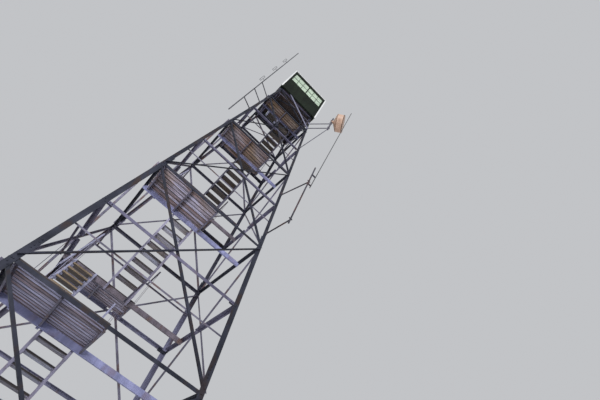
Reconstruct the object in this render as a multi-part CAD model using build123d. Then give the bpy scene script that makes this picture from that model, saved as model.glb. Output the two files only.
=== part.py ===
"""Fire lookout tower: a tapered lattice of angle bars, a switchback stair and a square cab.

Millimetres, +Z up. The origin lies on the ground, midway between the four piers.
+X runs to the right along the near face, and +Y runs from the near face to the far face.
"""
from build123d import *
import os

# Driving dimensions of the tower's outline
panel_height = 4064.0
panel_count = 4
top_panel_share = 0.5
base_half = 2265.0
top_half = 996.0
floor_height = (panel_count + top_panel_share) * panel_height

# Footings
pier_height = 300.0
pier_base = 700.0
pier_top = 460.0
shoe_size = 300.0
shoe_thickness = 20.0

# Angle bars of the lattice
leg_thickness = 9.5
leg_widths = (127.0, 127.0, 102.0, 102.0, 89.0)
splice_rise = 380.0
splice_length = 280.0
splice_thickness = 8.0
butt_gap = 0.5
girt_width = 76.0
girt_thickness = 6.4
mid_girt_shelf = 89.0
brace_width = 51.0
brace_thickness = 5.0
brace_bolt_in = 55.0
brace_foot_rise = 75.0
brace_head_drop = 126.0
brace_end_margin = 32.0
spacer_radius = 24.0
gusset_length = 230.0
gusset_height = 100.0
gusset_thickness = 6.0
lowest_brace_level = 380.0
bar_gap = 3.0

# Stair and landings
near_beam_y = -580.0
far_beam_y = 800.0
beam_depth = 130.0
beam_flange = 50.0
beam_thickness = 7.0
joist_depth = 120.0
joist_width = 40.0
joist_thickness = 5.0
joist_side_gap = 45.0
deck_thickness = 38.0
deck_side_gap = 85.0
near_deck_width = 1820.0
far_deck_width = 2000.0
far_deck_edge = 72.0
left_flight_in = 400.0
left_flight_width = 640.0
right_flight_in = 1068.0
right_flight_width = 717.0
stringer_depth = 110.0
stringer_flange = 55.0
stringer_thickness = 6.0
treads_per_flight = 8
tread_depth = 200.0
tread_thickness = 40.0
seat_gap = 0.3
footing_height = 100.0
footing_margin = 60.0
footing_run = 220.0

# Guard rails of the landings and handrails of the flights
rail_height = 1190.0
rail_size = 38.0
rail_thickness = 5.0
rail_inset = 64.0
side_rail_inset = 175.0
post_width = 38.0
post_thickness = 6.0
handrail_height = 1000.0
handrail_post_shares = (0.08, 0.5, 0.92)

# Cab
cab_half = 1125.0
wall_thickness = 58.0
skirt_drop = 348.0
ring_drop = 40.0
headroom = 2322.0
window_head_drop = 285.0
window_height = 1025.0
window_side = 985.0
mullion_width = 16.0
sash_width = 22.0
sash_thickness = 30.0
glass_thickness = 4.0
floor_thickness = 38.0
floor_frame_depth = 150.0
floor_frame_flange = 100.0
floor_frame_thickness = 7.0
hatch_front_y = -100.0
hatch_side_gap = 25.0
trim_width = 60.0
trim_thickness = 10.0
cornice_height = 60.0
cornice_thickness = 25.0
ceiling_thickness = 12.0
roof_overhang = 30.0
roof_rise = 480.0
roof_cap_half = 35.0
roof_cap_tip = 6.0
roof_cap_height = 90.0

# Stand-off pipes that are clamped to the near legs
standoff_radius = 21.0
clamp_length = 140.0
clamp_width = 75.0
clamp_thickness = 8.0
heel_room_reach = 280.0
heel_room_width = 130.0

# Side mast and whip, off the near right leg
mast_radius = 24.0
mast_out_x = 86.0
mast_out_y = 909.0
mast_rise = 472.0
mast_length = 3200.0
mast_standoff_rises = (150.0, 2230.0)
whip_radius = 14.0
whip_out = 122.0
whip_rise = 2030.0
whip_length = 7480.0
whip_lean = 310.0
whip_bracket_rises = (120.0, 700.0)
whip_bracket_size = 40.0

# Shrouded dish, off the near right leg below the cab
dish_drop = 900.0
dish_pole_out_x = 690.0
dish_pole_out_y = 790.0
dish_pole_radius = 38.0
dish_pole_foot = 950.0
dish_pole_head = 420.0
dish_arm_rises = (-790.0, -250.0)
dish_facing = (0.8, -0.6)
dish_radius = 420.0
dish_depth = 330.0
dish_cone = 130.0
dish_cone_radius = 120.0
dish_hub = 100.0
dish_hub_radius = 70.0
strut_radius = 17.0
strut_drop = 2888.0
strut_pole_drop = 880.0

# Tray over the dish's feeders, across the near face under the cab
feeder_head_x = -477.0
feeder_foot_in = 75.0
feeder_foot_rise = 150.0
feeder_gap = 55.0
feeder_width = 70.0
feeder_depth = 22.0
feeder_thickness = 3.0
feeder_end = 45.0
feeder_pad = 50.0

# Dipole mast, off the near left leg
dipole_mast_radius = 21.0
dipole_mast_out_x = 313.0
dipole_mast_out_y = 96.0
dipole_mast_rise = 208.0
dipole_mast_length = 9200.0
dipole_standoff_rises = (1400.0, 2500.0, 3400.0)
dipole_rises = (3700.0, 5400.0, 7000.0)
dipole_height = 560.0
dipole_width = 80.0
dipole_bar = 14.0
dipole_boom = 90.0

# Values that follow from the sizes above
slope = (base_half - top_half) / floor_height
face_out = Vector(0, -1, slope).normalized()
leg_foot = pier_height + shoe_thickness
leg_top = floor_height - floor_thickness - floor_frame_depth
levels = [panel_height * number for number in range(1, panel_count + 1)]
half_levels = [level - panel_height / 2 for level in levels]
wall_foot = floor_height - skirt_drop
ring_level = wall_foot - ring_drop
eave_height = floor_height + headroom
window_head = eave_height - window_head_drop
window_sill = window_head - window_height
wall_inner = cab_half - wall_thickness
face_turns = {"near": 0, "right": 90, "far": 180, "left": 270}


def half(height):
    """Half of the tower's width at a height, out to the heels of the legs."""
    return base_half - slope * height


def polygon(points):
    """A flat face in XY with straight sides."""
    return make_face(Polyline(*points, close=True))


def block(low, high):
    """A rectangular block between two corners."""
    size = [b - a for a, b in zip(low, high)]
    return Pos(*low) * Box(*size, align=(Align.MIN, Align.MIN, Align.MIN))


def pipe(start, end, radius):
    """A round bar from one point to another."""
    start, end = Vector(*start), Vector(*end)
    along = end - start
    return extrude(Plane(origin=start, z_dir=along) * Circle(radius), along.length)


def profile_x(points, left, right):
    """A bar along X, from a section given as (y, z) points."""
    section = Plane(origin=(left, 0, 0), x_dir=(0, 1, 0), z_dir=(1, 0, 0)) * polygon(points)
    return extrude(section, right - left)


def profile_y(points, front, back):
    """A bar along Y, from a section given as (x, z) points."""
    section = Plane(origin=(0, back, 0), x_dir=(1, 0, 0), z_dir=(0, -1, 0)) * polygon(points)
    return extrude(section, back - front)


def channel_points(web, bottom, depth, flange, thickness, side):
    """The section of a channel: its web's back at the place web, its flanges to one side."""
    inner = web + side * thickness
    tip = web + side * flange
    top = bottom + depth
    return [
        (web, bottom),
        (tip, bottom),
        (tip, bottom + thickness),
        (inner, bottom + thickness),
        (inner, top - thickness),
        (tip, top - thickness),
        (tip, top),
        (web, top),
    ]


def write(name, solids):
    """Writes one node's solids to its STEP file."""
    whole = Compound(label=name, children=list(solids))
    export_step(whole, f"parts/{name}.step")


def turned(solids, angle):
    """The same solids turned about the tower's axis."""
    return [solid.rotate(Axis.Z, angle) for solid in solids]


def four(solids):
    """The same solids at each of the tower's four sides or corners."""
    return [solid for angle in face_turns.values() for solid in turned(solids, angle)]


def frustum(foot_half, head_half, low, high):
    """A square block about the tower's axis whose four sides slope in from foot to head."""
    outline = [(-foot_half, low), (foot_half, low), (head_half, high), (-head_half, high)]
    along_x = profile_x(outline, -foot_half, foot_half)
    along_y = profile_y(outline, -foot_half, foot_half)
    return along_x & along_y


# Footings: a tapered concrete pier and a steel shoe under each leg
def pier():
    return Pos(-base_half, -base_half, 0) * frustum(pier_base / 2, pier_top / 2, 0, pier_height)


def shoe():
    heel = -half(pier_height)
    centre = heel + leg_widths[0] / 2
    return Pos(centre, centre, pier_height + shoe_thickness / 2) * Box(shoe_size, shoe_size, shoe_thickness)


# Legs: spliced lengths of angle bar whose heels follow the tower's corners
def splice_levels():
    return [level + splice_rise for level in levels]


def leg_length(low, high, width):
    outline = [(0, 0), (width, 0), (width, leg_thickness)]
    outline += [(leg_thickness, leg_thickness), (leg_thickness, width), (0, width)]
    section = Pos(-half(low), -half(low), low) * polygon(outline)
    rise = high - low
    direction = Vector(slope, slope, 1)
    return extrude(section, rise * direction.length, dir=direction.normalized())


def leg():
    ends = [leg_foot] + splice_levels() + [leg_top]
    lengths = []
    for number, width in enumerate(leg_widths):
        low = ends[number] + (butt_gap if number else 0)
        lengths.append(leg_length(low, ends[number + 1], width))
    return lengths


def splice_plates():
    """Plates inside both flanges of the near left leg, over each butt joint."""
    plates = []
    for level, width in zip(splice_levels(), leg_widths[1:]):
        low = level - splice_length / 2
        reach = width - leg_thickness - splice_thickness - 2 * bar_gap
        start = leg_thickness + splice_thickness + bar_gap
        outline = [(start, leg_thickness), (start + reach, leg_thickness)]
        outline += [(start + reach, leg_thickness + splice_thickness), (start, leg_thickness + splice_thickness)]
        section = Pos(-half(low), -half(low), low) * polygon(outline)
        direction = Vector(slope, slope, 1)
        plate = extrude(section, splice_length * direction.length, dir=direction.normalized())
        plates.append(plate)
        plates.append(plate.mirror(Plane.XZ).rotate(Axis.Z, 90))
    return plates


# Girts: level angles inside the leg flanges, and half-level angles in the plane of the flanges
def face_y(height, depth):
    """The Y of a surface that lies a depth inside the near face."""
    return -half(height) + depth


def girt(level):
    low = level - girt_width
    under = level - girt_thickness
    back = leg_thickness
    front = leg_thickness + girt_thickness
    upright = [
        (face_y(low, back), low),
        (face_y(low, front), low),
        (face_y(level, front), level),
        (face_y(level, back), level),
    ]
    shelf = [
        (face_y(level, back), under),
        (face_y(level, back + girt_width), under),
        (face_y(level, back + girt_width), level),
        (face_y(level, back), level),
    ]
    reach = half(level) - front - bar_gap
    shelf_reach = half(level) - back - girt_width - bar_gap
    return profile_x(upright, -reach, reach) + profile_x(shelf, -shelf_reach, shelf_reach)


def mid_girt(level):
    """A half-level girt: its shelf is cut away where the inner brace passes."""
    low = level - girt_width
    under = level - girt_thickness
    width = leg_width_at(level)
    upright = [
        (face_y(low, 0), low),
        (face_y(low, leg_thickness), low),
        (face_y(level, leg_thickness), level),
        (face_y(level, 0), level),
    ]
    depth = leg_thickness + mid_girt_shelf
    shelf = [
        (face_y(under, leg_thickness / 2), under),
        (face_y(level, depth), under),
        (face_y(level, depth), level),
        (face_y(level, leg_thickness / 2), level),
    ]
    reach = half(level) - width - bar_gap
    shelf_reach = min(reach, half(level) - depth - bar_gap)
    panel = int(level // panel_height)
    low_end, high_end = brace_ends(panel)
    share = (high_end[1] - level) / (high_end[1] - low_end[1])
    crossing = high_end[0] + (low_end[0] - high_end[0]) * share
    notch = brace_width + girt_width / 2
    left_shelf = profile_x(shelf, -shelf_reach, crossing - notch)
    right_shelf = profile_x(shelf, crossing + notch, shelf_reach)
    return profile_x(upright, -reach, reach) + left_shelf + right_shelf


def leg_width_at(height):
    for level, width in zip(splice_levels(), leg_widths):
        if height < level:
            return width
    return leg_widths[-1]


# Braces: crossed angles, one outside the leg flanges and one inside them
def panel_span(panel):
    bottoms = [lowest_brace_level] + levels
    tops = levels + [ring_level]
    return bottoms[panel] + brace_foot_rise, tops[panel] - brace_head_drop


def brace_ends(panel):
    """The falling brace's foot and head, as (x, z) on the near face."""
    low, high = panel_span(panel)
    foot = (half(low) - brace_bolt_in, low)
    head = (-half(high) + brace_bolt_in, high)
    return foot, head


def brace(start, end, layer, side):
    """An angle between two (x, z) points of the near face, its flat flange at a layer out of it."""
    first = Vector(start[0], -half(start[1]), start[1])
    last = Vector(end[0], -half(end[1]), end[1])
    along = (last - first).normalized()
    first = first - along * brace_end_margin + face_out * layer
    length = (last - first).length + brace_end_margin
    edge = -brace_width / 2
    outline = [
        (edge, 0),
        (-edge, 0),
        (-edge, side * brace_thickness),
        (edge + brace_thickness, side * brace_thickness),
        (edge + brace_thickness, side * brace_width),
        (edge, side * brace_width),
    ]
    across = face_out.cross(along)
    plane = Plane(origin=first, x_dir=across, z_dir=along)
    return extrude(plane * polygon(outline), length, dir=along)


def face_braces():
    bars = []
    for panel in range(panel_count + 1):
        foot, head = brace_ends(panel)
        bars.append(brace((-foot[0], foot[1]), (-head[0], head[1]), 0, 1))
        bars.append(brace(head, foot, -leg_thickness, -1))
    return bars


def crossing_spacers():
    """Round packing between the two braces of each panel, where they cross."""
    spacers = []
    for panel in range(panel_count + 1):
        foot, head = brace_ends(panel)
        share = foot[0] / (foot[0] - head[0])
        height = foot[1] + (head[1] - foot[1]) * share
        centre = Vector(0, -half(height), height) - face_out * leg_thickness
        plane = Plane(origin=centre, x_dir=(1, 0, 0), z_dir=face_out)
        spacers.append(extrude(plane * RegularPolygon(spacer_radius, 6), leg_thickness))
    return spacers


def mid_gussets():
    """Plates inside the leg flanges that hold the ends of the half-level girts."""
    plates = []
    for level in half_levels:
        top = level - girt_thickness - bar_gap
        low = top - gusset_height
        back = leg_thickness
        front = leg_thickness + gusset_thickness
        section = [
            (face_y(low, back), low),
            (face_y(low, front), low),
            (face_y(top, front), top),
            (face_y(top, back), top),
        ]
        outer = half(level) - front - bar_gap
        plates.append(profile_x(section, -outer, -outer + gusset_length))
        plates.append(profile_x(section, outer - gusset_length, outer))
    return plates


# Stair: beams across the tower, joists and decks, and flights between the beams
def coped(bar, level, tip):
    """A bar that runs across the tower, cut away under the shelves of the side girts."""
    end = half(level)
    shelf = level - girt_thickness - seat_gap
    for side in (-1, 1):
        low_x, high_x = sorted((side * end, side * (end - tip)))
        bar -= block((low_x, -base_half, shelf), (high_x, base_half, level + seat_gap))
    return bar


def beams():
    """Near beams at the levels and far beams at the half levels, their tops at the level."""
    bars = []
    for level in levels:
        reach = half(level) - leg_thickness - girt_thickness - seat_gap
        web = near_beam_y - beam_flange
        points = channel_points(web, level - beam_depth, beam_depth, beam_flange, beam_thickness, 1)
        tip = leg_thickness + girt_width + bar_gap
        bars.append(coped(profile_x(points, -reach, reach), level, tip))
    for level in half_levels:
        reach = half(level) - leg_thickness - seat_gap
        points = channel_points(far_beam_y, level - beam_depth, beam_depth, beam_flange, beam_thickness, 1)
        tip = leg_thickness + mid_girt_shelf + bar_gap
        bars.append(coped(profile_x(points, -reach, reach), level, tip))
    return bars


def deck_span(level, width):
    left = -half(level) + deck_side_gap
    return left, left + width


def joists(level, width, front, back, cope):
    """Three joists under a deck, from the girt of the face to the beam, cut under the girt's shelf."""
    left, right = deck_span(level, width)
    first = left + joist_side_gap
    last = right - joist_width
    bars = []
    for place in (first, (first + last) / 2, last):
        points = channel_points(place, level - joist_depth, joist_depth, joist_width, joist_thickness, 1)
        bar = profile_y(points, front, back)
        shelf = level - girt_thickness - seat_gap
        bars.append(bar - block((left, cope[0], shelf), (right, cope[1], level + seat_gap)))
    return bars


def landing_parts():
    """The decks and joists of the near landings and the far half landings."""
    decks, half_decks, bars = [], [], []
    for level in levels:
        front = face_y(level, leg_thickness + girt_thickness + bar_gap)
        left, right = deck_span(level, near_deck_width)
        cope = (-half(level), face_y(level, leg_thickness + girt_width + bar_gap))
        start = face_y(level, leg_thickness + girt_thickness + seat_gap)
        bars += joists(level, near_deck_width, start, near_beam_y - beam_flange, cope)
        decks.append(block((left, front, level), (right, near_beam_y, level + deck_thickness)))
    for level in half_levels:
        back = half(level) - far_deck_edge
        left, right = deck_span(level, far_deck_width)
        cope = (half(level) - leg_thickness - mid_girt_shelf - bar_gap, half(level))
        bars += joists(level, far_deck_width, far_beam_y + beam_flange, back, cope)
        half_decks.append(block((left, far_beam_y, level), (right, back, level + deck_thickness)))
    return decks, half_decks, bars


def flight_line(low, high, rising):
    """The height of a flight's middle line at the near beam, and its rise from near to far."""
    start = low if rising else high
    rise = (high - low) if rising else (low - high)
    return start - beam_depth / 2, rise


def sloped_band(base, rise, bottom, top):
    """A band between the beams as (y, z) points, its bottom and top measured plumb from a line."""
    return [
        (near_beam_y, base + bottom),
        (far_beam_y, base + rise + bottom),
        (far_beam_y, base + rise + top),
        (near_beam_y, base + top),
    ]


def plumb_share(rise):
    """How much taller a sloped bar is along a plumb line than across it."""
    run = far_beam_y - near_beam_y
    return (run**2 + rise**2) ** 0.5 / run


def stringer(x, low, high, rising, side):
    """A channel from the near beam to the far beam, cut plumb at both ends."""
    base, rise = flight_line(low, high, rising)
    reach = stringer_depth * plumb_share(rise) / 2
    lip = stringer_thickness * plumb_share(rise)
    inner = x + side * stringer_thickness
    tip = x + side * stringer_flange
    web = profile_x(sloped_band(base, rise, -reach, reach), min(x, inner), max(x, inner))
    low_lip = profile_x(sloped_band(base, rise, -reach, lip - reach), min(x, tip), max(x, tip))
    high_lip = profile_x(sloped_band(base, rise, reach - lip, reach), min(x, tip), max(x, tip))
    return web + low_lip + high_lip


def treads(left, width, low, high, rising):
    planks = []
    count = treads_per_flight + 1
    run = (far_beam_y - near_beam_y) / count
    for number in range(1, count):
        forward = number if rising else count - number
        y = near_beam_y + run * forward - tread_depth / 2
        top = low + deck_thickness + (high - low) * number / count
        start = (left + stringer_flange + seat_gap, y, top - tread_thickness)
        end = (left + width - stringer_flange - seat_gap, y + tread_depth, top)
        planks.append(block(start, end))
    return planks


def flight(left, width, low, high, rising):
    """The stringers and treads of one flight. A rising flight climbs from near to far."""
    bars = [
        stringer(left + stringer_flange, low, high, rising, -1),
        stringer(left + width - stringer_flange, low, high, rising, 1),
    ]
    return bars, treads(left, width, low, high, rising)


def handrail(edge, side, low, high, rising):
    """An angle above a flight's outer stringer, on flat posts against the stringer's flanges."""
    base, rise = flight_line(low, high, rising)
    share = plumb_share(rise)
    under = beam_depth / 2 + deck_thickness + handrail_height
    band = sloped_band(base, rise, under - rail_size * share, under)
    top = sloped_band(base, rise, under, under + rail_thickness * share)
    inner = edge + side * post_thickness
    outer = inner + side * rail_thickness
    tip = outer - side * rail_size
    rail = profile_x(band, min(inner, outer), max(inner, outer))
    rail += profile_x(top, min(tip, outer), max(tip, outer))
    run = far_beam_y - near_beam_y
    foot = -stringer_depth * share / 2
    for part in handrail_post_shares:
        y = near_beam_y + run * part
        line = base + rise * part
        slant = abs(rise) / run * post_width / 2
        low_corner = (min(edge, inner), y - post_width / 2, line + foot + slant)
        high_corner = (max(edge, inner), y + post_width / 2, line + under - slant - seat_gap)
        rail += block(low_corner, high_corner)
    return rail


def all_flights():
    """Stringers, treads and handrails: left flights climb to the far side, right ones to the near."""
    left_bars, left_planks, right_bars, right_planks, rails = [], [], [], [], []
    storeys = [0.0] + levels
    for level in storeys:
        left = -half(level) + left_flight_in
        if level < levels[-1]:
            middle = level + panel_height / 2
            upper = level + panel_height
            right = -half(upper) + right_flight_in
            rails.append(handrail(left, -1, level, middle, True))
            rails.append(handrail(right + right_flight_width, 1, middle, upper, False))
            bars, planks = flight(right, right_flight_width, middle, upper, False)
            right_bars += bars
            right_planks += planks
        else:
            middle = floor_height - floor_thickness
        bars, planks = flight(left, left_flight_width, level, middle, True)
        left_bars += bars
        left_planks += planks
    ground = block((-base_half, -base_half, -panel_height), (base_half, base_half, footing_height))
    left_bars = [bar - ground if bar.bounding_box().min.Z < footing_height else bar for bar in left_bars]
    rails = [rail - ground if rail.bounding_box().min.Z < footing_height else rail for rail in rails]
    return left_bars, left_planks, right_bars, right_planks, rails


def stair_footing():
    left = -half(0) + left_flight_in
    low = (left - footing_margin, near_beam_y - footing_margin, 0)
    end = near_beam_y + footing_run + footing_margin
    high = (left + left_flight_width + footing_margin, end, footing_height)
    return block(low, high)


# Guard rails: angles across the near and far faces, and at both ends of each landing
def face_rail(level):
    """A rail across the near face above a level, between the flanges of the legs."""
    height = level + rail_height
    front = face_y(height, rail_inset)
    points = [
        (front, height - rail_size),
        (front + rail_thickness, height - rail_size),
        (front + rail_thickness, height - rail_thickness),
        (front + rail_size, height - rail_thickness),
        (front + rail_size, height),
        (front, height),
    ]
    reach = half(height) - leg_thickness
    return profile_x(points, -reach, reach)


def end_rail(x, side, level, front, back, posts):
    """A rail along Y at the end of a landing, on flat posts that stand on the deck."""
    height = level + rail_height
    inner = x + side * rail_thickness
    tip = x + side * rail_size
    bar = block((min(x, inner), front, height - rail_size), (max(x, inner), back, height))
    bar += block((min(x, tip), front, height - rail_thickness), (max(x, tip), back, height))
    post_back = inner + side * post_thickness
    for y in posts:
        low = (min(inner, post_back), y - post_width / 2, level + deck_thickness)
        high = (max(inner, post_back), y + post_width / 2, height - rail_thickness)
        bar += block(low, high)
    return bar


def guard_rails():
    bars = []
    for level in levels:
        height = level + rail_height
        bars.append(face_rail(level))
        front = face_y(height, rail_inset) + rail_size
        back = near_beam_y
        posts = ((front + back) / 2, back - post_width / 2)
        right = deck_span(level, near_deck_width)[1]
        bars.append(end_rail(-half(height) + side_rail_inset, 1, level, front, back, posts))
        bars.append(end_rail(right, -1, level, front, back, posts))
    for level in half_levels:
        height = level + rail_height
        bars += turned([face_rail(level)], 180)
        front = far_beam_y
        back = half(height) - rail_inset - rail_size
        posts = (front + post_width / 2, (front + back) / 2)
        right = deck_span(level, far_deck_width)[1]
        bars.append(end_rail(-half(height) + side_rail_inset, 1, level, front, back, posts))
        bars.append(end_rail(right, -1, level, front, back, posts))
    return bars


# Cab: floor frame, floor, walls with two windows each, trims, ceiling and roof
hatch_left = -half(levels[-1]) + left_flight_in - hatch_side_gap
hatch_right = -half(levels[-1]) + left_flight_in + left_flight_width + hatch_side_gap


def floor_frame():
    low = leg_top
    sizes = (floor_frame_depth, floor_frame_flange, floor_frame_thickness)
    edge = channel_points(-wall_inner, low, *sizes, 1)
    front = profile_x(edge, -wall_inner, wall_inner)
    side_reach = wall_inner - floor_frame_flange
    side = channel_points(-wall_inner, low, *sizes, 1)
    left = profile_y(side, -side_reach, side_reach)
    bars = [front, front.mirror(Plane.XZ), left, left.mirror(Plane.YZ)]
    near_joist = channel_points(hatch_front_y, low, *sizes, -1)
    far_joist = channel_points(far_beam_y, low, *sizes, 1)
    bars.append(profile_x(near_joist, -side_reach, side_reach))
    bars.append(profile_x(far_joist, -side_reach, side_reach))
    trimmer = channel_points(hatch_right, low, *sizes, 1)
    bars.append(profile_y(trimmer, hatch_front_y, far_beam_y))
    return bars


def cab_floor():
    low = leg_top + floor_frame_depth
    slab = block((-wall_inner, -wall_inner, low), (wall_inner, wall_inner, floor_height))
    return slab - block((hatch_left, hatch_front_y, leg_top), (hatch_right, far_beam_y, eave_height))


def wall(reach):
    """The near wall, its ends at plus and minus reach, with its two window openings."""
    panel = block((-reach, -cab_half, wall_foot), (reach, -wall_inner, eave_height))
    for side in (-1, 1):
        left, right = sorted((side * mullion_width / 2, side * window_side))
        panel -= block((left, -base_half, window_sill), (right, 0, window_head))
    return panel


def window_places():
    """The two windows of the near wall, as (left, right)."""
    near_edge = mullion_width / 2 + seat_gap
    far_edge = window_side - seat_gap
    return [(-far_edge, -near_edge), (near_edge, far_edge)]


def sash(left, right):
    middle = -cab_half + wall_thickness / 2
    front, back = middle - sash_thickness / 2, middle + sash_thickness / 2
    low, high = window_sill + seat_gap, window_head - seat_gap
    frame = block((left, front, low), (right, back, high))
    light_low = (left + sash_width, -base_half, low + sash_width)
    light_high = (right - sash_width, 0, high - sash_width)
    return frame - block(light_low, light_high)


def pane(left, right):
    middle = -cab_half + wall_thickness / 2
    gap = sash_width + seat_gap
    low = (left + gap, middle - glass_thickness / 2, window_sill + gap + seat_gap)
    high = (right - gap, middle + glass_thickness / 2, window_head - gap - seat_gap)
    return block(low, high)


def corner_trim():
    outer = -cab_half - trim_thickness
    inner = -cab_half
    outline = [
        (outer, outer),
        (outer + trim_width, outer),
        (outer + trim_width, inner),
        (inner, inner),
        (inner, outer + trim_width),
        (outer, outer + trim_width),
    ]
    low = wall_foot
    height = eave_height - cornice_height - wall_foot
    return extrude(Pos(0, 0, low) * polygon(outline), height)


def cornice():
    outer = 2 * (cab_half + cornice_thickness)
    ring = Rectangle(outer, outer) - Rectangle(2 * cab_half, 2 * cab_half)
    return extrude(Pos(0, 0, eave_height - cornice_height) * ring, cornice_height)


def ceiling():
    low = (-wall_inner, -wall_inner, eave_height - ceiling_thickness)
    return block(low, (wall_inner, wall_inner, eave_height))


def roof():
    """A pyramid roof on the walls, hollow above the ceiling."""
    outer_half = cab_half + roof_overhang
    pitch = roof_rise / (outer_half - roof_cap_half)
    shell = frustum(outer_half, roof_cap_half, eave_height, eave_height + roof_rise)
    attic_rise = (wall_inner - roof_cap_half) * pitch
    attic = frustum(wall_inner, roof_cap_half, eave_height, eave_height + attic_rise)
    return shell - attic


def roof_cap():
    low = eave_height + roof_rise
    return frustum(roof_cap_half, roof_cap_tip, low, low + roof_cap_height)


# Antennas: pipes, a dish and dipoles on stand-offs that are clamped to the near legs
def clamp(level, side):
    """An angle that hugs the outside of a near leg's heel; side is -1 on the left leg."""
    low = level - clamp_length / 2
    outline = [(0, 0), (clamp_width, 0), (clamp_width, -clamp_thickness)]
    outline += [(-clamp_thickness, -clamp_thickness), (-clamp_thickness, clamp_width), (0, clamp_width)]
    section = Pos(-half(low), -half(low), low) * polygon(outline)
    direction = Vector(slope, slope, 1)
    piece = extrude(section, clamp_length * direction.length, dir=direction.normalized())
    return piece if side < 0 else piece.mirror(Plane.YZ)


def heel_room(level, side):
    """The space inside a near leg's heel, which nothing clamped to the leg enters."""
    low = level - heel_room_reach
    width = heel_room_width
    outline = [(0, 0), (width, 0), (width, width), (0, width)]
    section = Pos(-half(low), -half(low), low) * polygon(outline)
    direction = Vector(slope, slope, 1)
    room = extrude(section, 2 * heel_room_reach, dir=direction.normalized())
    return room if side < 0 else room.mirror(Plane.YZ)


def standoff(level, side, target, radius, carried):
    """A pipe from a clamp on a near leg to the axis of what it carries, cut to its surface."""
    start = Vector(side * half(level), -half(level), level)
    arm = clamp(level, side) + (pipe(start, Vector(*target), radius) - heel_room(level, side))
    return arm - carried


def beside_leg(level, side, out_x, out_y):
    """The (x, y) of a place outside a near leg's heel."""
    return side * (half(level) + out_x), -half(level) - out_y


def upright(place, low, high, radius):
    return pipe((*place, low), (*place, high), radius)


mast_foot = levels[1] + mast_rise
mast_place = beside_leg(mast_foot, 1, mast_out_x, mast_out_y)


def whip_shape(radius):
    x, y = mast_place
    foot = mast_foot + whip_rise
    head = (x + whip_out + whip_lean, y, foot + whip_length)
    return pipe((x + whip_out, y, foot), head, radius)


def whip_bracket(rise, mast_room, whip_room):
    """A short bar between the mast and the whip."""
    x, y = mast_place
    level = mast_foot + whip_rise + rise
    side = whip_bracket_size / 2
    share = rise / whip_length
    end = x + whip_out + whip_lean * share
    bar = block((x, y - side, level - side), (end, y + side, level + side))
    return bar - mast_room - whip_room


def side_mast():
    room = upright(mast_place, mast_foot, mast_foot + mast_length, mast_radius + seat_gap)
    bars = [upright(mast_place, mast_foot, mast_foot + mast_length, mast_radius)]
    for rise in mast_standoff_rises:
        level = mast_foot + rise
        bars.append(standoff(level, 1, (*mast_place, level), standoff_radius, room))
    whip_room = whip_shape(whip_radius + seat_gap)
    return bars + [whip_bracket(rise, room, whip_room) for rise in whip_bracket_rises]


dish_level = floor_height - dish_drop
dish_pole = beside_leg(dish_level, 1, dish_pole_out_x, dish_pole_out_y)


def dish_pole_shape(radius):
    return upright(dish_pole, dish_level - dish_pole_foot, dish_level + dish_pole_head, radius)


def dish():
    """A shrouded dish that faces away from the tower, its hub cut to the pole."""
    along = Vector(*dish_facing, 0).normalized()
    centre = Vector(*dish_pole, dish_level)
    hub = extrude(Plane(origin=centre, z_dir=along) * Circle(dish_hub_radius), dish_hub)
    start = centre + along * dish_hub
    ends = (dish_cone_radius, dish_radius)
    seat = (Align.CENTER, Align.CENTER, Align.MIN)
    cone = Plane(origin=start, z_dir=along) * Cone(*ends, dish_cone, align=seat)
    shroud_start = start + along * dish_cone
    shroud = extrude(Plane(origin=shroud_start, z_dir=along) * Circle(dish_radius), dish_depth)
    return hub + cone + shroud - dish_pole_shape(dish_pole_radius + seat_gap)


def dish_mount():
    """The dish's pole, its two arms and its long strut."""
    room = dish_pole_shape(dish_pole_radius + seat_gap)
    bars = [dish_pole_shape(dish_pole_radius)]
    for rise in dish_arm_rises:
        level = dish_level + rise
        bars.append(standoff(level, 1, (*dish_pole, level), standoff_radius, room))
    foot = (*dish_pole, dish_level - strut_pole_drop)
    bars.append(standoff(dish_level - strut_drop, 1, foot, strut_radius, room))
    return bars


def feeder_tray():
    """A shallow channel over the feeders, from the near wall's foot to a pad on the near right leg."""
    foot_level = levels[-1] + feeder_foot_rise
    foot = Vector(half(foot_level) - feeder_foot_in, -half(foot_level), foot_level)
    head = Vector(feeder_head_x, -half(wall_foot), wall_foot)
    along = (head - foot).normalized()
    start = foot - along * feeder_end
    length = (head - start).length + feeder_width
    side = feeder_width / 2
    wall_side = side - feeder_thickness
    front = feeder_gap + feeder_depth
    outline = [
        (-side, feeder_gap),
        (-side, front),
        (side, front),
        (side, feeder_gap),
        (wall_side, feeder_gap),
        (wall_side, front - feeder_thickness),
        (-wall_side, front - feeder_thickness),
        (-wall_side, feeder_gap),
    ]
    section = Plane(origin=start, x_dir=face_out.cross(along), z_dir=along) * polygon(outline)
    above = block((-base_half, -base_half, wall_foot - seat_gap), (base_half, 0, eave_height))
    tray = extrude(section, length, dir=along) - above
    base = Plane(origin=foot, x_dir=along, z_dir=face_out) * Rectangle(feeder_pad, feeder_pad)
    pad = extrude(base, front - feeder_thickness - seat_gap)
    return [tray, pad]


dipole_mast_foot = levels[2] + dipole_mast_rise
dipole_place = beside_leg(dipole_mast_foot, -1, dipole_mast_out_x, dipole_mast_out_y)


def dipole(level, mast_room):
    """A folded dipole: an upright loop of square bar on a boom out from the mast."""
    x, y = dipole_place
    outer = x - dipole_boom - dipole_width
    low = level - dipole_height / 2
    high = level + dipole_height / 2
    half_bar = dipole_bar / 2
    loop = block((outer, y - half_bar, low), (outer + dipole_width, y + half_bar, high))
    gap_low = (outer + dipole_bar, -base_half, low + dipole_bar)
    gap_high = (outer + dipole_width - dipole_bar, 0, high - dipole_bar)
    loop -= block(gap_low, gap_high)
    boom_start = (outer + dipole_width - dipole_bar, y - half_bar, level - half_bar)
    boom = block(boom_start, (x, y + half_bar, level + half_bar))
    return loop + boom - mast_room


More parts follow.
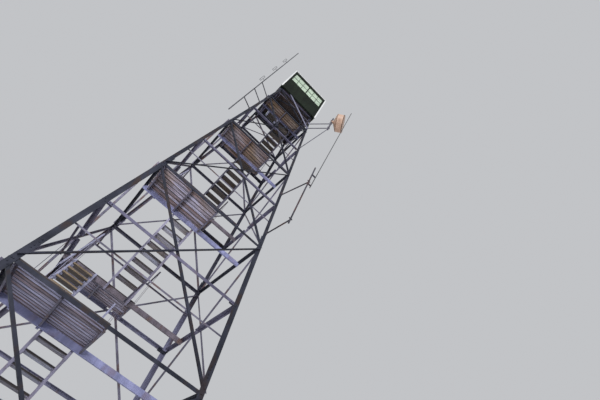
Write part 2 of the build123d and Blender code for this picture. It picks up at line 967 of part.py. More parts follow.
def dipole_mast():
    head = dipole_mast_foot + dipole_mast_length
    room = upright(dipole_place, dipole_mast_foot, head, dipole_mast_radius + seat_gap)
    bars = [upright(dipole_place, dipole_mast_foot, head, dipole_mast_radius)]
    for rise in dipole_standoff_rises:
        level = dipole_mast_foot + rise
        bars.append(standoff(level, -1, (*dipole_place, level), standoff_radius, room))
    return bars + [dipole(dipole_mast_foot + rise, room) for rise in dipole_rises]


def main():
    os.makedirs("parts", exist_ok=True)
    write("concrete_piers", four([pier()]))
    write("leg_shoes", four([shoe()]))
    near_leg = leg()
    for name, angle in (("near_left", 0), ("near_right", 90), ("far_right", 180), ("far_left", 270)):
        write(f"{name}_leg", turned(near_leg, angle))
    write("splice_plates", four(splice_plates()))
    girts = [girt(level) for level in levels + [ring_level]] + [mid_girt(level) for level in half_levels]
    braces = face_braces()
    for name, angle in face_turns.items():
        write(f"{name}_girts", turned(girts, angle))
        write(f"{name}_braces", turned(braces, angle))
    write("gusset_plates", four(crossing_spacers() + mid_gussets()))
    write("stair_beams", beams())
    decks, half_decks, joist_bars = landing_parts()
    write("landings", decks)
    write("half_landings", half_decks)
    write("landing_joists", joist_bars)
    left_bars, left_planks, right_bars, right_planks, handrails = all_flights()
    write("left_flight_stringers", left_bars)
    write("left_flight_treads", left_planks)
    write("right_flight_stringers", right_bars)
    write("right_flight_treads", right_planks)
    write("stair_handrails", handrails)
    write("stair_footing", [stair_footing()])
    write("guard_rails", guard_rails())
    write("cab_floor_frame", floor_frame())
    write("cab_floor", [cab_floor()])
    for name, angle in face_turns.items():
        reach = cab_half if name in ("near", "far") else wall_inner
        write(f"{name}_wall", turned([wall(reach)], angle))
    write("window_sashes", four([sash(*place) for place in window_places()]))
    write("window_glass", four([pane(*place) for place in window_places()]))
    write("corner_trims", four([corner_trim()]))
    write("cornice", [cornice()])
    write("ceiling", [ceiling()])
    write("roof", [roof()])
    write("roof_cap", [roof_cap()])
    write("side_mast", side_mast())
    write("whip_antenna", [whip_shape(whip_radius)])
    write("drum_antenna", [dish()])
    write("drum_arm", dish_mount() + feeder_tray())
    write("dipole_mast", dipole_mast())


main()
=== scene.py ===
import bmesh
import bpy
import math
import random
from mathutils import Matrix, Vector


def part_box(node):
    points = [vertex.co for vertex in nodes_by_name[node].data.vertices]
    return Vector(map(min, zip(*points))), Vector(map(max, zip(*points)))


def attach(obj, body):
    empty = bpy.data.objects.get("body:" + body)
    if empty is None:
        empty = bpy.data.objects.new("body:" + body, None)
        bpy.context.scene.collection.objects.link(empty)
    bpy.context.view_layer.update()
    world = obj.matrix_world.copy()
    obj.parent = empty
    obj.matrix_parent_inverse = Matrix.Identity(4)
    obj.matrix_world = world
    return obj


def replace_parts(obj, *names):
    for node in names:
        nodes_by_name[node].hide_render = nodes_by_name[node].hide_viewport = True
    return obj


# A steel fire lookout tower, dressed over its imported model, in metres and in the model's frame.
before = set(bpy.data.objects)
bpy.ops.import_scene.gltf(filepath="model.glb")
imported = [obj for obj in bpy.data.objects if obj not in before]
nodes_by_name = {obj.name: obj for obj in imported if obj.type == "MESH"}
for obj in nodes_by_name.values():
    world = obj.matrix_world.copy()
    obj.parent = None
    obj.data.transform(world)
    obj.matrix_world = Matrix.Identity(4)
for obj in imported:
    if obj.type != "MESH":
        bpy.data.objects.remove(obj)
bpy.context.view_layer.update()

# The camera
# It stands low in front of the near face and left of its middle, and looks steeply up.
camera_data = bpy.data.cameras.new("camera")
camera_data.sensor_width = 36.0
camera_data.lens = 21.953
camera_data.clip_end = 400.0
camera = bpy.data.objects.new("camera", camera_data)
camera.location = (-0.5662, -8.5735, 1.0666)
camera.rotation_euler = (2.555412, -0.263650, -0.744219)
bpy.context.scene.collection.objects.link(camera)
bpy.context.scene.camera = camera

# The concrete piers and the stair's footing
# Cast in timber forms and left rough: grey and cloudy, with darker damp near the ground, and pores.


def finish(name, roughness, metallic=0.0):
    """A new material and the parts of its node tree."""
    material = bpy.data.materials.new(name)
    material.use_nodes = True
    tree = material.node_tree
    surface = tree.nodes["Principled BSDF"]
    surface.inputs["Roughness"].default_value = roughness
    surface.inputs["Metallic"].default_value = metallic
    return material, tree, surface


def spot(tree, source="Object"):
    """Where a spot of the surface lies, in the tower's own metres or on the UV map."""
    return tree.nodes.new("ShaderNodeTexCoord").outputs[source]


def axes(tree, source="Object"):
    """The X, Y and Z of a spot, each an output of its own."""
    parts = tree.nodes.new("ShaderNodeSeparateXYZ")
    tree.links.new(spot(tree, source), parts.inputs["Vector"])
    return parts.outputs


def noise(tree, scale, stretch=(1.0, 1.0, 1.0), detail=4.0, source="Object"):
    """Cloudy noise over the surface, stretched along the axes."""
    mapping = tree.nodes.new("ShaderNodeMapping")
    mapping.inputs["Scale"].default_value = stretch
    cloud = tree.nodes.new("ShaderNodeTexNoise")
    cloud.inputs["Scale"].default_value = scale
    cloud.inputs["Detail"].default_value = detail
    tree.links.new(spot(tree, source), mapping.inputs["Vector"])
    tree.links.new(mapping.outputs["Vector"], cloud.inputs["Vector"])
    return cloud.outputs["Fac"]


def tones(tree, factor, *stops):
    """A ramp of colours or of greys, from (place, colour) stops."""
    ramp = tree.nodes.new("ShaderNodeValToRGB")
    while len(ramp.color_ramp.elements) < len(stops):
        ramp.color_ramp.elements.new(0.5)
    for element, (place, colour) in zip(ramp.color_ramp.elements, stops):
        element.position = place
        element.color = (*colour, 1.0) if isinstance(colour, tuple) else (colour, colour, colour, 1.0)
    tree.links.new(factor, ramp.inputs["Fac"])
    return ramp.outputs["Color"]


def mixed(tree, factor, first, second, kind="MIX"):
    """Two colours mixed; each may be a colour or another node's output."""
    mix = tree.nodes.new("ShaderNodeMixRGB")
    mix.blend_type = kind
    for socket, value in zip(mix.inputs, (factor, first, second)):
        if isinstance(value, tuple):
            socket.default_value = (*value, 1.0)
        elif isinstance(value, float):
            socket.default_value = value
        else:
            tree.links.new(value, socket)
    return mix.outputs["Color"]


def times(tree, colour, *shades):
    """A colour multiplied by one shade after another."""
    for shade in shades:
        colour = mixed(tree, 1.0, colour, shade, "MULTIPLY")
    return colour


def relief(tree, surface, height, strength, distance):
    """Bumps in the surface, read from a height."""
    bump = tree.nodes.new("ShaderNodeBump")
    bump.inputs["Strength"].default_value = strength
    bump.inputs["Distance"].default_value = distance
    tree.links.new(height, bump.inputs["Height"])
    tree.links.new(bump.outputs["Normal"], surface.inputs["Normal"])


def height_band(tree, low, high):
    """A factor that climbs from 0 to 1 between two heights."""
    span = tree.nodes.new("ShaderNodeMapRange")
    span.inputs["From Min"].default_value = low
    span.inputs["From Max"].default_value = high
    tree.links.new(axes(tree)["Z"], span.inputs["Value"])
    return span.outputs["Result"]


def dress(material, *names):
    """Gives CAD nodes a material in place of their plain one."""
    for name in names:
        nodes_by_name[name].data.materials[0] = material


damp_height = 0.25
concrete, tree, surface = finish("cast_concrete", 0.9)
clouds = tones(tree, noise(tree, 5.0), (0.3, (0.42, 0.41, 0.38)), (0.7, (0.60, 0.58, 0.54)))
damp = tones(tree, height_band(tree, 0.0, damp_height), (0.0, 0.62), (0.8, 1.0))
pores = tones(tree, noise(tree, 55.0), (0.32, 0.6), (0.42, 1.0))
tree.links.new(times(tree, clouds, damp, pores), surface.inputs["Base Color"])
relief(tree, surface, pores, 0.5, 0.004)
dress(concrete, "concrete_piers", "stair_footing")

# The steel of the tower
# Hot-rolled angles, dipped in zinc and weathered for decades: lavender grey with spangle and dark drips,
# and brown rust. Painted shade makes the near legs and braces, the plates and bolts, and the girts at the
# full levels near black; the far right leg and far girts are painted paler low down as light and darker
# higher up as shade.
storey = 4.064


def worked(tree, operation, first, second=0.0):
    """One step of arithmetic over the surface; each term may be a number or another node's output."""
    node = tree.nodes.new("ShaderNodeMath")
    node.operation = operation
    for socket, value in zip(node.inputs, (first, second)):
        if isinstance(value, float):
            socket.default_value = value
        else:
            tree.links.new(value, socket)
    return node.outputs[0]


def between_levels(tree):
    """0 close to the tower's full levels and 1 well away from them, by height."""
    from_level = worked(tree, "PINGPONG", axes(tree)["Z"], storey / 2)
    return tones(tree, from_level, (0.45, 0.0), (0.6, 1.0))


def zinc(name, coat, rust_share, painted_level_coat=None, shades=None):
    """Weathered zinc. A coat is a dark, a light and a rust colour, and painted_level_coat is painted light
    and shade near the full levels. More rust_share gives more rust, and shades darken the steel from a foot
    to a top height as painted shade."""
    dark, light, rust = coat
    material, tree, surface = finish(name, 0.55, 0.35)
    surface.inputs["Specular IOR Level"].default_value = 0.3
    clouds = tones(tree, noise(tree, 2.2, detail=6.0), (0.3, dark), (0.7, light))
    # Painted light and shade: near the full levels the steel takes a second coat, dark on girts, pale on
    # beams.
    if painted_level_coat:
        level_dark, level_light, level_rust = painted_level_coat
        level_clouds = tones(tree, noise(tree, 2.2, detail=6.0), (0.3, level_dark), (0.7, level_light))
        clouds = mixed(tree, between_levels(tree), level_clouds, clouds)
        rust = mixed(tree, between_levels(tree), level_rust, rust)
    cells = tree.nodes.new("ShaderNodeTexVoronoi")
    cells.inputs["Scale"].default_value = 70.0
    tree.links.new(spot(tree), cells.inputs["Vector"])
    grey = tree.nodes.new("ShaderNodeRGBToBW")
    tree.links.new(cells.outputs["Color"], grey.inputs["Color"])
    spangle = tones(tree, grey.outputs["Val"], (0.2, 0.94), (0.8, 1.03))
    drips = tones(tree, noise(tree, 7.0, (1.0, 1.0, 0.12), 5.0), (0.36, 0.72), (0.55, 1.0))
    rust_edge = 0.62 - rust_share
    blotches = tones(tree, noise(tree, 4.3, (1.0, 1.0, 0.45), 8.0), (rust_edge, 0.0), (rust_edge + 0.12, 0.8))
    stained = mixed(tree, blotches, times(tree, clouds, spangle, drips), rust)
    # Painted shade: the steel darkens from the foot height to the top height.
    if shades:
        foot, top, stops = shades
        stained = times(tree, stained, tones(tree, height_band(tree, foot, top), *stops))
    tree.links.new(stained, surface.inputs["Base Color"])
    rough = tones(tree, noise(tree, 13.0), (0.3, 0.45), (0.7, 0.72))
    tree.links.new(rough, surface.inputs["Roughness"])
    relief(tree, surface, noise(tree, 90.0), 0.12, 0.001)
    return material


# Painted shade: the shaded slate coat is near black.
shaded_slate_coat = (0.015, 0.017, 0.028), (0.038, 0.041, 0.062), (0.036, 0.023, 0.020)
girt_coat = (0.075, 0.071, 0.115), (0.155, 0.148, 0.228), (0.130, 0.085, 0.090)
brace_coat = (0.085, 0.082, 0.118), (0.190, 0.180, 0.250), (0.110, 0.065, 0.058)
far_coat = (0.110, 0.110, 0.170), (0.220, 0.220, 0.330), (0.130, 0.080, 0.070)
leg_steel = zinc("leg_zinc", shaded_slate_coat, 0.08)
girt_steel = zinc("girt_zinc", girt_coat, 0.03, shaded_slate_coat)
brace_steel = zinc("brace_zinc", brace_coat, 0.10)
# Painted light and shade: the far coat is paler than the other bars low down, and darkens above 6.9 m.
far_steel = zinc("far_zinc", far_coat, 0.06, shades=(6.9, 7.7, ((0.0, 1.0), (1.0, 0.3))))
dress(leg_steel, "leg_shoes", "near_left_leg", "near_right_leg")
dress(leg_steel, "splice_plates", "near_braces", "gusset_plates")
dress(brace_steel, "far_left_leg", "right_braces", "far_braces", "left_braces")
dress(far_steel, "far_right_leg", "far_girts")
dress(girt_steel, "near_girts", "right_girts", "left_girts")

# The bolts of the lattice
# Zinc-coated hexagon bolts, a washer under each head and a nut inside. Two or more at every bar's end,
# four through each splice plate, one through the packing where two braces cross.
base_half, top_half, top_height = 2.265, 0.996, 18.288
slope = (base_half - top_half) / top_height
levels = [storey * number for number in (1, 2, 3, 4)]
middles = [level - storey / 2 for level in levels]


def half(height):
    """Half the tower's width at a height, to the outside of its legs."""
    return base_half - slope * height


def edges_at(verts):
    """The edges that meet at any of these corners, each once."""
    return list({edge for vert in verts for edge in vert.link_edges})


def ease(mesh, edges, offset, segments=1):
    """Cuts edges back; gives what the cut made."""
    return bmesh.ops.bevel(mesh, geom=edges, offset=offset, segments=segments, profile=0.5,
                           affect="EDGES", material=-1)


def rod(mesh, segments, radius, length, place, end_radius=None):
    """A closed rod along its own Z, round its middle; gives its corners."""
    return bmesh.ops.create_cone(mesh, cap_ends=True, segments=segments, radius1=radius,
                                 radius2=end_radius or radius, depth=length, matrix=place)["verts"]


def hexagon_head(radius):
    """A washer and a hexagon head with its corners eased, standing on the XY plane."""
    mesh = bmesh.new()
    washer_thick, head_tall = radius * 0.2, radius * 0.7
    rod(mesh, 12, radius * 1.25, washer_thick, Matrix.Translation((0, 0, washer_thick / 2)))
    corners = rod(mesh, 6, radius, head_tall, Matrix.Translation((0, 0, washer_thick + head_tall / 2)))
    top = [edge for edge in edges_at(corners) if all(vert.co.z > head_tall for vert in edge.verts)]
    ease(mesh, top, radius * 0.14)
    data = bpy.data.meshes.new("hexagon_head")
    mesh.to_mesh(data)
    mesh.free()
    return data


def set_in(mesh, data, place, outward, roll=0.0):
    """Adds a copy of a small mesh at a place, its Z pointing outward."""
    turn = outward.to_track_quat("Z", "Y").to_matrix().to_4x4() @ Matrix.Rotation(roll, 4, "Z")
    copy = data.copy()
    copy.transform(Matrix.Translation(place) @ turn)
    mesh.from_mesh(copy)
    bpy.data.meshes.remove(copy)


def quarter_turn(count):
    """The turn from the near face to the face that is count faces on, anticlockwise from above."""
    return Matrix.Rotation(count * math.pi / 2, 3, "Z")


def linked(name, mesh, material):
    """A finished mesh as an object in the scene."""
    data = bpy.data.meshes.new(name)
    mesh.to_mesh(data)
    mesh.free()
    data.materials.append(material)
    thing = bpy.data.objects.new(name, data)
    bpy.context.scene.collection.objects.link(thing)
    return thing


def piece(name, mesh, material):
    """A finished mesh as an object that rides with the tower."""
    thing = linked(name, mesh, material)
    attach(thing, "root")
    return thing


head = hexagon_head(0.013)
out = Vector((0.0, -1.0, slope)).normalized()
leg_skin, plate_skin, brace_skin, splice_skin = 0.0095, 0.0159, 0.005, 0.008
lattice_foot, lattice_top = 0.38, 17.90
brace_inset, brace_rise, brace_drop = 0.055, 0.075, 0.126
bolt_spacing = 0.05
pairs = []
for foot, top in zip([lattice_foot] + levels, levels + [lattice_top]):
    low, high = foot + brace_rise, top - brace_drop
    low_reach, high_reach = half(low) - brace_inset, half(high) - brace_inset
    for side in (-1, 1):
        before, behind = (brace_skin, leg_skin) if side < 0 else (0.0, leg_skin + brace_skin)
        ends = Vector((side * low_reach, 0, low)), Vector((-side * high_reach, 0, high))
        for here, there in (ends, ends[::-1]):
            along = (there - here).normalized() * bolt_spacing
            for step in (-0.2, 1.0):
                pairs.append((here + along * step, before, behind))
    crossing = low + (high - low) * low_reach / (low_reach + high_reach)
    pairs.append((Vector((0.0, 0, crossing)), brace_skin, leg_skin + brace_skin))
# Each hole has its way in from the tower's side and its drop below the level.
level_holes = (0.034, 0.04), (0.068, 0.04)
middle_holes = (0.038, 0.03), (0.075, 0.085), (0.160, 0.045), (0.215, 0.045)
girt_rows = [(level, level_holes, plate_skin) for level in levels + [lattice_top]]
girt_rows += [(level, middle_holes, plate_skin - 0.0004) for level in middles]
for level, holes, behind in girt_rows:
    for side in (-1, 1):
        for inward, drop in holes:
            pairs.append((Vector((side * (half(level) - inward), 0, level - drop)), 0.0, behind))
splice_rise = 0.38
for level, leg_width in zip(levels, (0.127, 0.102, 0.102, 0.089)):
    for side in (-1, 1):
        for rise in (-0.11, -0.045, 0.045, 0.11):
            z = level + splice_rise + rise
            pairs.append((Vector((side * (half(z) - leg_width * 0.55), 0, z)), 0.0, leg_skin + splice_skin))
for face, name in enumerate(("near_bolts", "right_bolts", "far_bolts", "left_bolts")):
    mesh = bmesh.new()
    roll = random.Random(face)
    for place, before, behind in pairs:
        skin = Vector((place.x, -half(place.z), place.z))
        set_in(mesh, head, skin + out * before, out, roll.random())
        set_in(mesh, head, skin - out * behind, -out, roll.random())
    bmesh.ops.rotate(mesh, matrix=quarter_turn(face), verts=mesh.verts)
    piece(name, mesh, leg_steel)

# The anchor bolts of the shoes
# A threaded rod with a heavy nut at each corner of every shoe, cast into the pier.
mesh = bmesh.new()
nut = hexagon_head(0.024)
anchor_radius, anchor_tip, anchor_length, anchor_middle = 0.012, 0.010, 0.05, 0.03
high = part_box("leg_shoes")[1]
for side_x in (-1, 1):
    for side_y in (-1, 1):
        for step_x in (0.045, 0.255):
            for step_y in (0.045, 0.255):
                place = Vector((side_x * (high.x - step_x), side_y * (high.y - step_y), high.z))
                set_in(mesh, nut, place, Vector((0, 0, 1)), step_x * 7)
                middle = Matrix.Translation(place + Vector((0, 0, anchor_middle)))
                rod(mesh, 10, anchor_radius, anchor_length, middle, anchor_tip)
piece("anchor_bolts", mesh, leg_steel)

# The stair's steel
# Channels for the beams, joists and stringers, small angles and flats for the rails. Painted light and shade:
# the right flights are pale low down and darken as they climb, the beams darken as they climb, the beams of
# the full levels are paler than those between them, and the left stringers and handrails are pale.
shaded_beam_coat = (0.110, 0.092, 0.110), (0.200, 0.172, 0.215), (0.130, 0.080, 0.070)
lit_level_beam_coat = (0.195, 0.205, 0.365), (0.345, 0.358, 0.590), (0.200, 0.170, 0.250)
beam_painted_shades = 12.5, 16.0, ((0.0, 1.0), (1.0, 0.45))
beam_steel = zinc("beam_zinc", shaded_beam_coat, 0.04, lit_level_beam_coat, beam_painted_shades)
# Painted light and shade: the stair coat is pale at the foot and darkens as it climbs.
stair_coat = (0.275, 0.258, 0.360), (0.480, 0.460, 0.630), (0.280, 0.190, 0.170)
stair_painted_shades = 2.5, 10.0, ((0.0, 1.0), (0.3, 0.6), (0.79, 0.6), (0.97, 0.19))
stair_steel = zinc("stair_zinc", stair_coat, 0.05, shades=stair_painted_shades)
# Painted light: the left stringers, handrails and left cleats are pale.
painted_light_coat = (0.320, 0.325, 0.460), (0.480, 0.485, 0.650), (0.230, 0.150, 0.140)
painted_light_steel = zinc("painted_light_zinc", painted_light_coat, 0.0)
dress(beam_steel, "stair_beams")
dress(brace_steel, "landing_joists", "guard_rails")
dress(stair_steel, "right_flight_stringers")
dress(painted_light_steel, "left_flight_stringers", "stair_handrails")

# The boards of the landings
# Sawn planks 38 mm thick across the joists, silver grey with age, and browner and darker higher up, the
# darkening painted shade. Damp and rust leave pinkish brown streaks along the grain, and no two planks are
# alike. The sides of the planks are painted near black as the shade in the gaps between them.
near_edge, far_edge = -0.58, 0.80
deck_inset, landing_width, half_landing_width = 0.085, 1.82, 2.0
near_girt_gap, far_girt_gap = 0.0189, 0.072
board_pitch, board_thick, board_gap = 0.118, 0.038, 0.008
map_step = 10.0


def aged_wood(name, coat, stain_start, painted_high_shade=None, shaded_heights=(5.0, 18.0), painted_side_tone=(0.03, 0.024, 0.024)):
    """Weathered wood with its grain on the UV map. A coat is a dark, a light and a stain colour,
    painted_side_tone is painted on a plank's sides, for the shade in the gaps and the light on the left
    treads' edges, and painted_high_shade darkens the planks more and more between the shaded_heights as
    painted shade."""
    dark, light, stain = coat
    material, tree, surface = finish(name, 0.85)
    grain = tones(tree, noise(tree, 6.0, (0.3, 8.0, 1.0), 6.0, "UV"), (0.36, dark), (0.62, light))
    fibres = tones(tree, noise(tree, 9.0, (0.8, 32.0, 1.0), 3.0, "UV"), (0.38, 0.56), (0.6, 1.08))
    # Planks lie map_step apart on the map, which gives each a number and the way in from its edge.
    steps = worked(tree, "DIVIDE", axes(tree, "UV")["Y"], map_step)
    plank_number = worked(tree, "ROUND", steps)
    way_in = worked(tree, "SUBTRACT", steps, plank_number)
    dice = tree.nodes.new("ShaderNodeTexWhiteNoise")
    dice.noise_dimensions = "1D"
    tree.links.new(plank_number, dice.inputs["W"])
    own_tone = tones(tree, dice.outputs["Value"], (0.0, (0.50, 0.43, 0.39)), (0.9, (1.10, 1.12, 1.16)))
    wood = times(tree, grain, fibres, own_tone)
    # Painted shade: the planks darken between the shaded heights.
    if painted_high_shade:
        wood = times(tree, wood, tones(tree, height_band(tree, *shaded_heights), (0.0, 1.0), (1.0, painted_high_shade)))
        brown_patches = tones(tree, noise(tree, 1.5, detail=3.0), (0.44, 1.0), (0.62, (0.74, 0.62, 0.38)))
        patched_from, patched_to = 4.5, 9.0
        wood = mixed(tree, height_band(tree, patched_from, patched_to), wood, brown_patches, "MULTIPLY")
    damp_streaks = noise(tree, 2.3, (0.45, 9.0, 1.0), 5.0, "UV")
    streaks = tones(tree, damp_streaks, (stain_start, 0.0), (stain_start + 0.12, 0.85))
    stained = mixed(tree, streaks, wood, stain)
    # Painted shade and light: a plank's sides, and a narrow strip of its underside along one edge, take the
    # side tone.
    inner = tones(tree, way_in, (0.0, 0.0), (0.0014, 1.0))
    tree.links.new(mixed(tree, inner, painted_side_tone, stained), surface.inputs["Base Color"])
    relief(tree, surface, fibres, 0.35, 0.002)
    return material


def block(mesh, middle, sizes, turn=Matrix.Identity(4)):
    """A block round a middle, turned if need be; gives its corners."""
    place = Matrix.Translation(middle) @ turn @ Matrix.Diagonal((*sizes, 1.0))
    return bmesh.ops.create_cube(mesh, size=1.0, matrix=place)["verts"]


def plank(mesh, low, high, number, offset=0.004):
    """A sawn plank between two corners, its edges eased, with its own stretch of the UV map."""
    grain = mesh.loops.layers.uv.verify()
    corners = block(mesh, (low + high) / 2, high - low)
    eased = ease(mesh, edges_at(corners), offset)
    for face in {face for vert in eased["verts"] for face in vert.link_faces}:
        face.normal_update()
        sawn_side = abs(face.normal.y) > 0.9
        for loop in face.loops:
            place = loop.vert.co
            across = 0.0003 if sawn_side else place.y - low.y + place.z - low.z
            loop[grain].uv = (place.x, number * map_step + across)


def deck_ends(level):
    """The left and right ends of the boards at a level."""
    left = -half(level) + deck_inset
    return left, left + (landing_width if level in levels else half_landing_width)


deck_coat = (0.160, 0.155, 0.230), (0.640, 0.630, 0.870), (0.240, 0.140, 0.125)
# Painted shade: the last colour darkens the upper landings.
deck_wood = aged_wood("deck_wood", deck_coat, 0.51, (0.66, 0.50, 0.25))
dice = random.Random(11)
number = 0
mesh, far_mesh = bmesh.new(), bmesh.new()
for level in levels + middles:
    near = level in levels
    left, right = deck_ends(level)
    start, end = (-half(level) + near_girt_gap, near_edge) if near else (far_edge, half(level) - far_girt_gap)
    count = round((end - start) / board_pitch)
    pitch = (end - start) / count
    for row in range(count):
        number += 1
        front, back = start + row * pitch + board_gap / 2, start + (row + 1) * pitch - board_gap / 2
        low = Vector((left + dice.random() * 0.008, front, level + dice.random() * 0.0004))
        high = Vector((right - dice.random() * 0.012, back, level + board_thick - dice.random() * 0.003))
        plank(mesh if near else far_mesh, low, high, number)
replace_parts(piece("landing_boards", mesh, deck_wood), "landings")
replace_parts(piece("half_landing_boards", far_mesh, deck_wood), "half_landings")

# The treads
# Thick planks between the stringers, held by a steel cleat at each end that two bolts fix to the web.
# Those of the left flights have tan sides, painted light on the lit edges, and the others near-black sides,
# painted shade; all are painted darker as shade above a given height.
stair_top = 18.25
run = far_edge - near_edge
flight_count, rises = 9, 9
left_flight_inset, left_flight_width = 0.40, 0.64
right_flight_inset, right_flight_width = 1.068, 0.717
web_in, web_thick = 0.0553, 0.0063
tread_half_depth, tread_thick = 0.1, 0.04


def flight(number):
    """Side, foot, top, left edge and width of a flight, counted up from the ground."""
    foot = storey * number / 2
    top = foot + storey / 2 if number < flight_count - 1 else stair_top
    if number % 2 == 0:
        return "left", foot, top, -half(foot) + left_flight_inset, left_flight_width
    return "right", foot, top, -half(top) + right_flight_inset, right_flight_width


def cleat(mesh, x, inward, middle, under):
    """A short angle under a tread's end: one leg along the plank, the other down the stringer's web."""
    leg, thick, length = 0.045, 0.006, 0.11
    outline = ((0, 0), (leg, 0), (leg, -thick), (thick, -thick), (thick, -leg), (0, -leg))
    front = middle - length / 2
    start = [mesh.verts.new((x + inward * across, front, under + drop)) for across, drop in outline]
    grown = bmesh.ops.extrude_face_region(mesh, geom=[mesh.faces.new(start)])["geom"]
    end = [part for part in grown if isinstance(part, bmesh.types.BMVert)]
    bmesh.ops.translate(mesh, verts=end, vec=(0, length, 0))
    faces = {face for vert in start + end for face in vert.link_faces}
    bmesh.ops.recalc_face_normals(mesh, faces=list(faces))


tread_coat = (0.230, 0.235, 0.290), (0.520, 0.530, 0.640), (0.230, 0.160, 0.140)
tread_painted_shade = 0.22, 0.18, 0.14
left_wood = aged_wood("left_tread_wood", tread_coat, 0.60, tread_painted_shade, (3.6, 4.4), (0.225, 0.168, 0.112))
right_wood = aged_wood("right_tread_wood", tread_coat, 0.60, tread_painted_shade, (8.2, 10.0))
cleat_middle, second_bolt, bolt_drop = 0.035, 0.06, 0.066
small_head = hexagon_head(0.009)
for side, wood, steel in (("left", left_wood, painted_light_steel), ("right", right_wood, stair_steel)):
    mesh, cleats = bmesh.new(), bmesh.new()
    first_flight, start, forward_sign = (0, near_edge, 1) if side == "left" else (1, far_edge, -1)
    for flight_number in range(first_flight, flight_count, 2):
        foot, top, left, width = flight(flight_number)[1:]
        first, last = left + web_in, left + width - web_in
        for step in range(1, rises):
            number += 1
            y = start + forward_sign * run * step / rises
            z = foot + board_thick + (top - foot) * step / rises
            low = Vector((first, y - tread_half_depth, z - tread_thick))
            plank(mesh, low, Vector((last, y + tread_half_depth, z)), number, offset=0.006)
            for x, inward in ((first, 1), (last, -1)):
                cleat(cleats, x, inward, y + forward_sign * cleat_middle, z - tread_thick)
                for along in (0.0, second_bolt):
                    place = Vector((x - inward * web_thick, y + forward_sign * along, z - bolt_drop))
                    set_in(cleats, small_head, place, Vector((-inward, 0, 0)), step)
    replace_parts(piece(side + "_tread_planks", mesh, wood), side + "_flight_treads")
    piece(side + "_tread_cleats", cleats, steel)

# The bolts of the landings and stringers
# Each stringer is bolted through its web to an angle on the beam, and each joist to the beam's web.
# The lowest flight stands on its footing, so its foot has none.
lowest_bolt, web_middle_drop = 0.2, 0.065
bolt_steps = 0.035, 0.085
mesh = bmesh.new()
for flight_number in range(flight_count):
    side, foot, top, left, width = flight(flight_number)
    start, end = (near_edge, far_edge) if side == "left" else (far_edge, near_edge)
    webs = (left + web_in - web_thick, -1), (left + width - web_in + web_thick, 1)
    for height, y, upward in ((foot, start, 1), (top, end, -1)):
        inward_y = 1 if y < 0 else -1
        climb = (top - foot) / run * upward
        for along in bolt_steps:
            z = height - web_middle_drop + climb * along
            if z < lowest_bolt:
                continue
            for x, facing in webs:
                set_in(mesh, small_head, Vector((x, y + inward_y * along, z)), Vector((facing, 0, 0)), along)
joist_thick, first_joist, last_joist = 0.005, 0.045, 0.04
inner_beam, near_beam, far_beam = 0.085, 0.16, 0.17
for level in levels + middles:
    left, right = deck_ends(level)
    first, last = left + first_joist, right - last_joist
    joist_ends = (near_edge - inner_beam, -half(level) + near_beam)
    if level in middles:
        joist_ends = (far_edge + inner_beam, half(level) - far_beam)
    for x in (first, (first + last) / 2, last):
        for drop in bolt_steps:
            for y in joist_ends:
                for shift, facing in ((joist_thick, 1), (0, -1)):
                    place = Vector((x + shift, y, level - drop))
                    set_in(mesh, small_head, place, Vector((facing, 0, 0)), drop * 9)
piece("stair_bolts", mesh, stair_steel)

# The cab's floor
# Tongued boards on a frame of channels, cut away at the hatch where the last flight comes up. The boards
# and the frame are painted near black as the shade under the cab.
shaded_floor_coat = (0.032, 0.020, 0.018), (0.085, 0.055, 0.048), (0.040, 0.022, 0.018)
floor_wood = aged_wood("floor_wood", shaded_floor_coat, 0.52)
dress(leg_steel, "cab_floor_frame")
low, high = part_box("cab_floor")
hatch_left, hatch_right, hatch_front = -half(levels[3]) + 0.375, -half(levels[3]) + 1.065, -0.10
floor_boards, floor_gap = 19, 0.0016
pitch = (high.y - low.y) / floor_boards
mesh = bmesh.new()
for row in range(floor_boards):
    front, back = low.y + row * pitch, low.y + (row + 1) * pitch
    spans = [(low.x, high.x)]
    if back > hatch_front + 0.001 and front < far_edge - 0.001:
        spans = [(low.x, hatch_left), (hatch_right, high.x)]
    for left, right in spans:
        number += 1
        corner = Vector((right, back - floor_gap / 2, high.z))
        plank(mesh, Vector((left, front + floor_gap / 2, low.z)), corner, number, offset=0.002)
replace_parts(piece("cab_floor_boards", mesh, floor_wood), "cab_floor")

# The cab's walls
# Sheet metal on a light frame, painted dark green outside and pale green inside. The paint has chalked
# and run in the rain. A spot counts as inside above the floor, up to 7 mm into the walls' inner face.
cab_face, wall_thick, lining = 1.125, 0.058, 0.007
green_paint, tree, surface = finish("wall_paint", 0.75)
surface.inputs["Specular IOR Level"].default_value = 0.2
weather = noise(tree, 1.6, (1.0, 1.0, 0.5), 6.0)
dark_green = tones(tree, weather, (0.3, (0.003, 0.0065, 0.003)), (0.7, (0.009, 0.016, 0.008)))
rain_runs = tones(tree, noise(tree, 9.0, (1.0, 1.0, 0.08), 4.0), (0.35, 0.7), (0.6, 1.15))
spot_axes = axes(tree)
across, deep = (worked(tree, "ABSOLUTE", spot_axes[axis]) for axis in ("X", "Y"))
within = worked(tree, "LESS_THAN", worked(tree, "MAXIMUM", across, deep), cab_face - wall_thick + lining)
above_floor = tones(tree, height_band(tree, 18.25, 18.29), (0.0, 0.0), (1.0, 1.0))
pale_green = tones(tree, noise(tree, 3.0), (0.3, (0.55, 0.62, 0.53)), (0.7, (0.62, 0.69, 0.60)))
both_sides = mixed(tree, times(tree, within, above_floor), times(tree, dark_green, rain_runs), pale_green)
tree.links.new(both_sides, surface.inputs["Base Color"])
relief(tree, surface, noise(tree, 18.0), 0.15, 0.002)
dress(green_paint, "near_wall", "right_wall", "far_wall", "left_wall")

